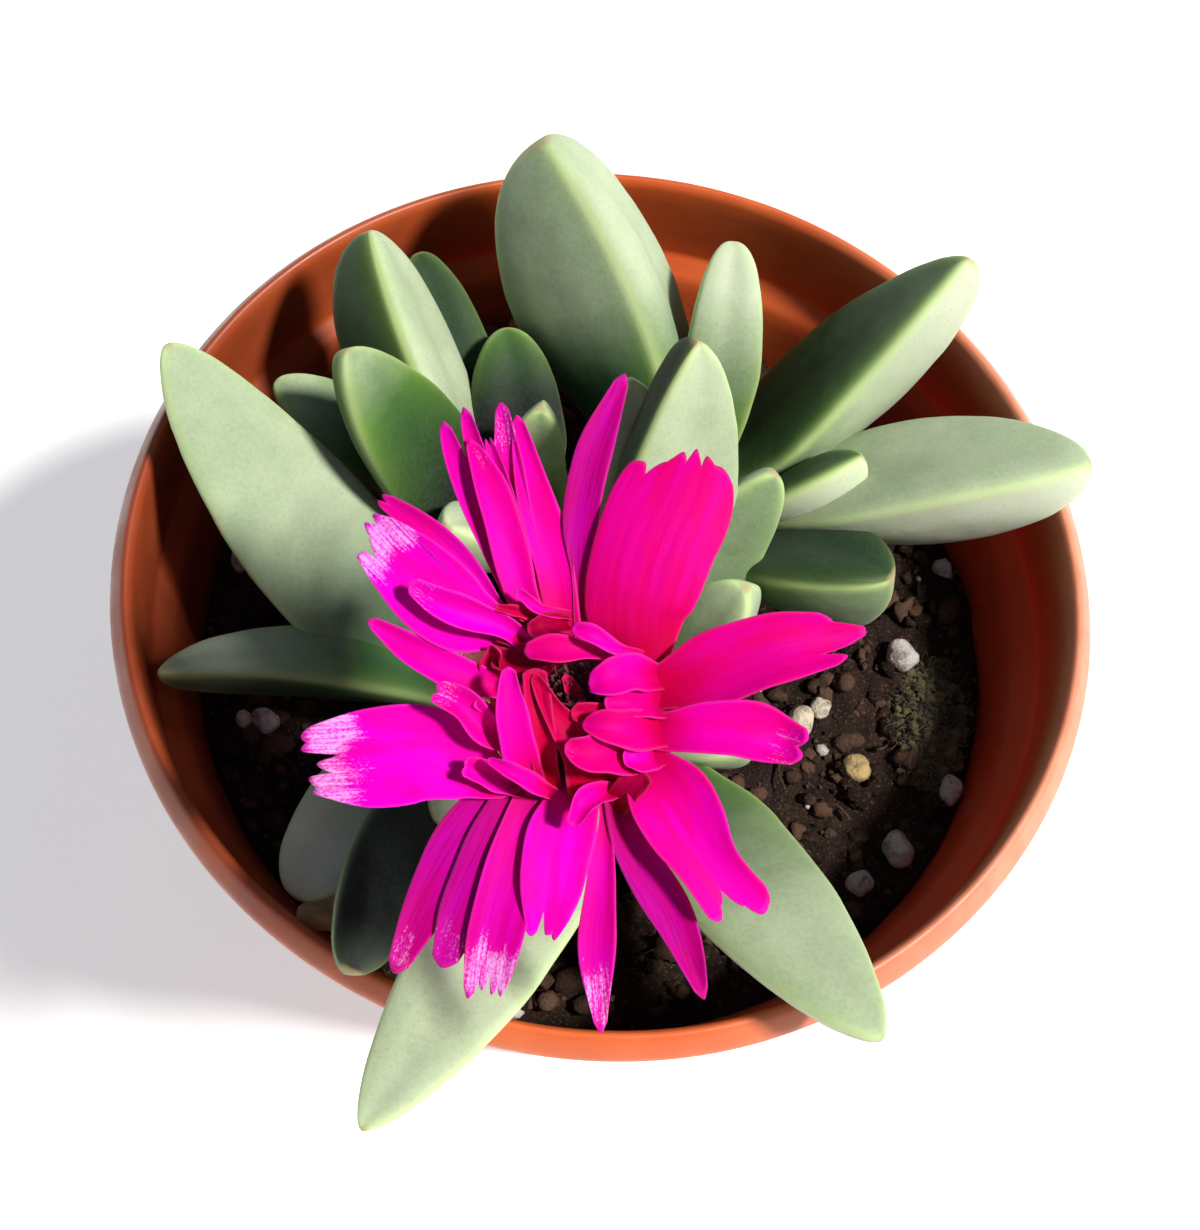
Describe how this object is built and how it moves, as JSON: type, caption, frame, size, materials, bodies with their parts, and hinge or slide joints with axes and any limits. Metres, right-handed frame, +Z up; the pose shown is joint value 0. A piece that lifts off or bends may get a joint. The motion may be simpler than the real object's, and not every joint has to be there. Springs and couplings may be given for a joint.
{
  "type": "potted lobster claw succulent",
  "caption": "Clump of thick, keeled grey-green succulent leaves with a single toothed magenta flower on a bowed stalk, planted in soil in a round tapered plastic pot with a rolled rim.",
  "frame": {"origin": "centre of the pot's flat underside", "axes": "+Z up, -Y towards the side that the flower leans to, +X to the right seen from that side"},
  "size_m": [0.105, 0.1157, 0.1338],
  "materials": {
    "pot_plastic": "moulded terracotta-coloured plastic, semi-matt",
    "potting_soil": "dark moist potting mix with pale grit",
    "woody_stem": "rough bark",
    "dry_leaf": "dry, papery",
    "stalk_green": "fleshy, semi-matt",
    "petal": "silky, finely striped along its length",
    "stamen": "matt",
    "leaf": "fleshy, with a pale waxy bloom"
  },
  "bodies": {
    "root": {"pot": "pot_plastic", "soil": "potting_soil", "crown": "woody_stem", "dry_leaf": "dry_leaf", "flower_stalk": "stalk_green", "calyx": "stalk_green", "bloom": "petal", "stamens": "stamen", "leaf_back_broad": "leaf", "leaf_back_low": "leaf", "leaf_back_small": "leaf", "leaf_corner_front": "leaf", "leaf_corner_low": "leaf", "leaf_corner_low_front": "leaf", "leaf_corner_side": "leaf", "leaf_front_left": "leaf", "leaf_front_right": "leaf", "leaf_front_small": "leaf", "leaf_left_back": "leaf", "leaf_left_front": "leaf", "leaf_left_inner": "leaf", "leaf_left_long": "leaf", "leaf_left_low": "leaf", "leaf_left_middle": "leaf", "leaf_left_upper": "leaf", "leaf_middle_back": "leaf", "leaf_middle_right": "leaf", "leaf_middle_short": "leaf", "leaf_middle_upright": "leaf", "leaf_right_long": "leaf", "leaf_right_low": "leaf", "leaf_right_small": "leaf", "leaf_right_upper": "leaf"}
  },
  "joints": []
}
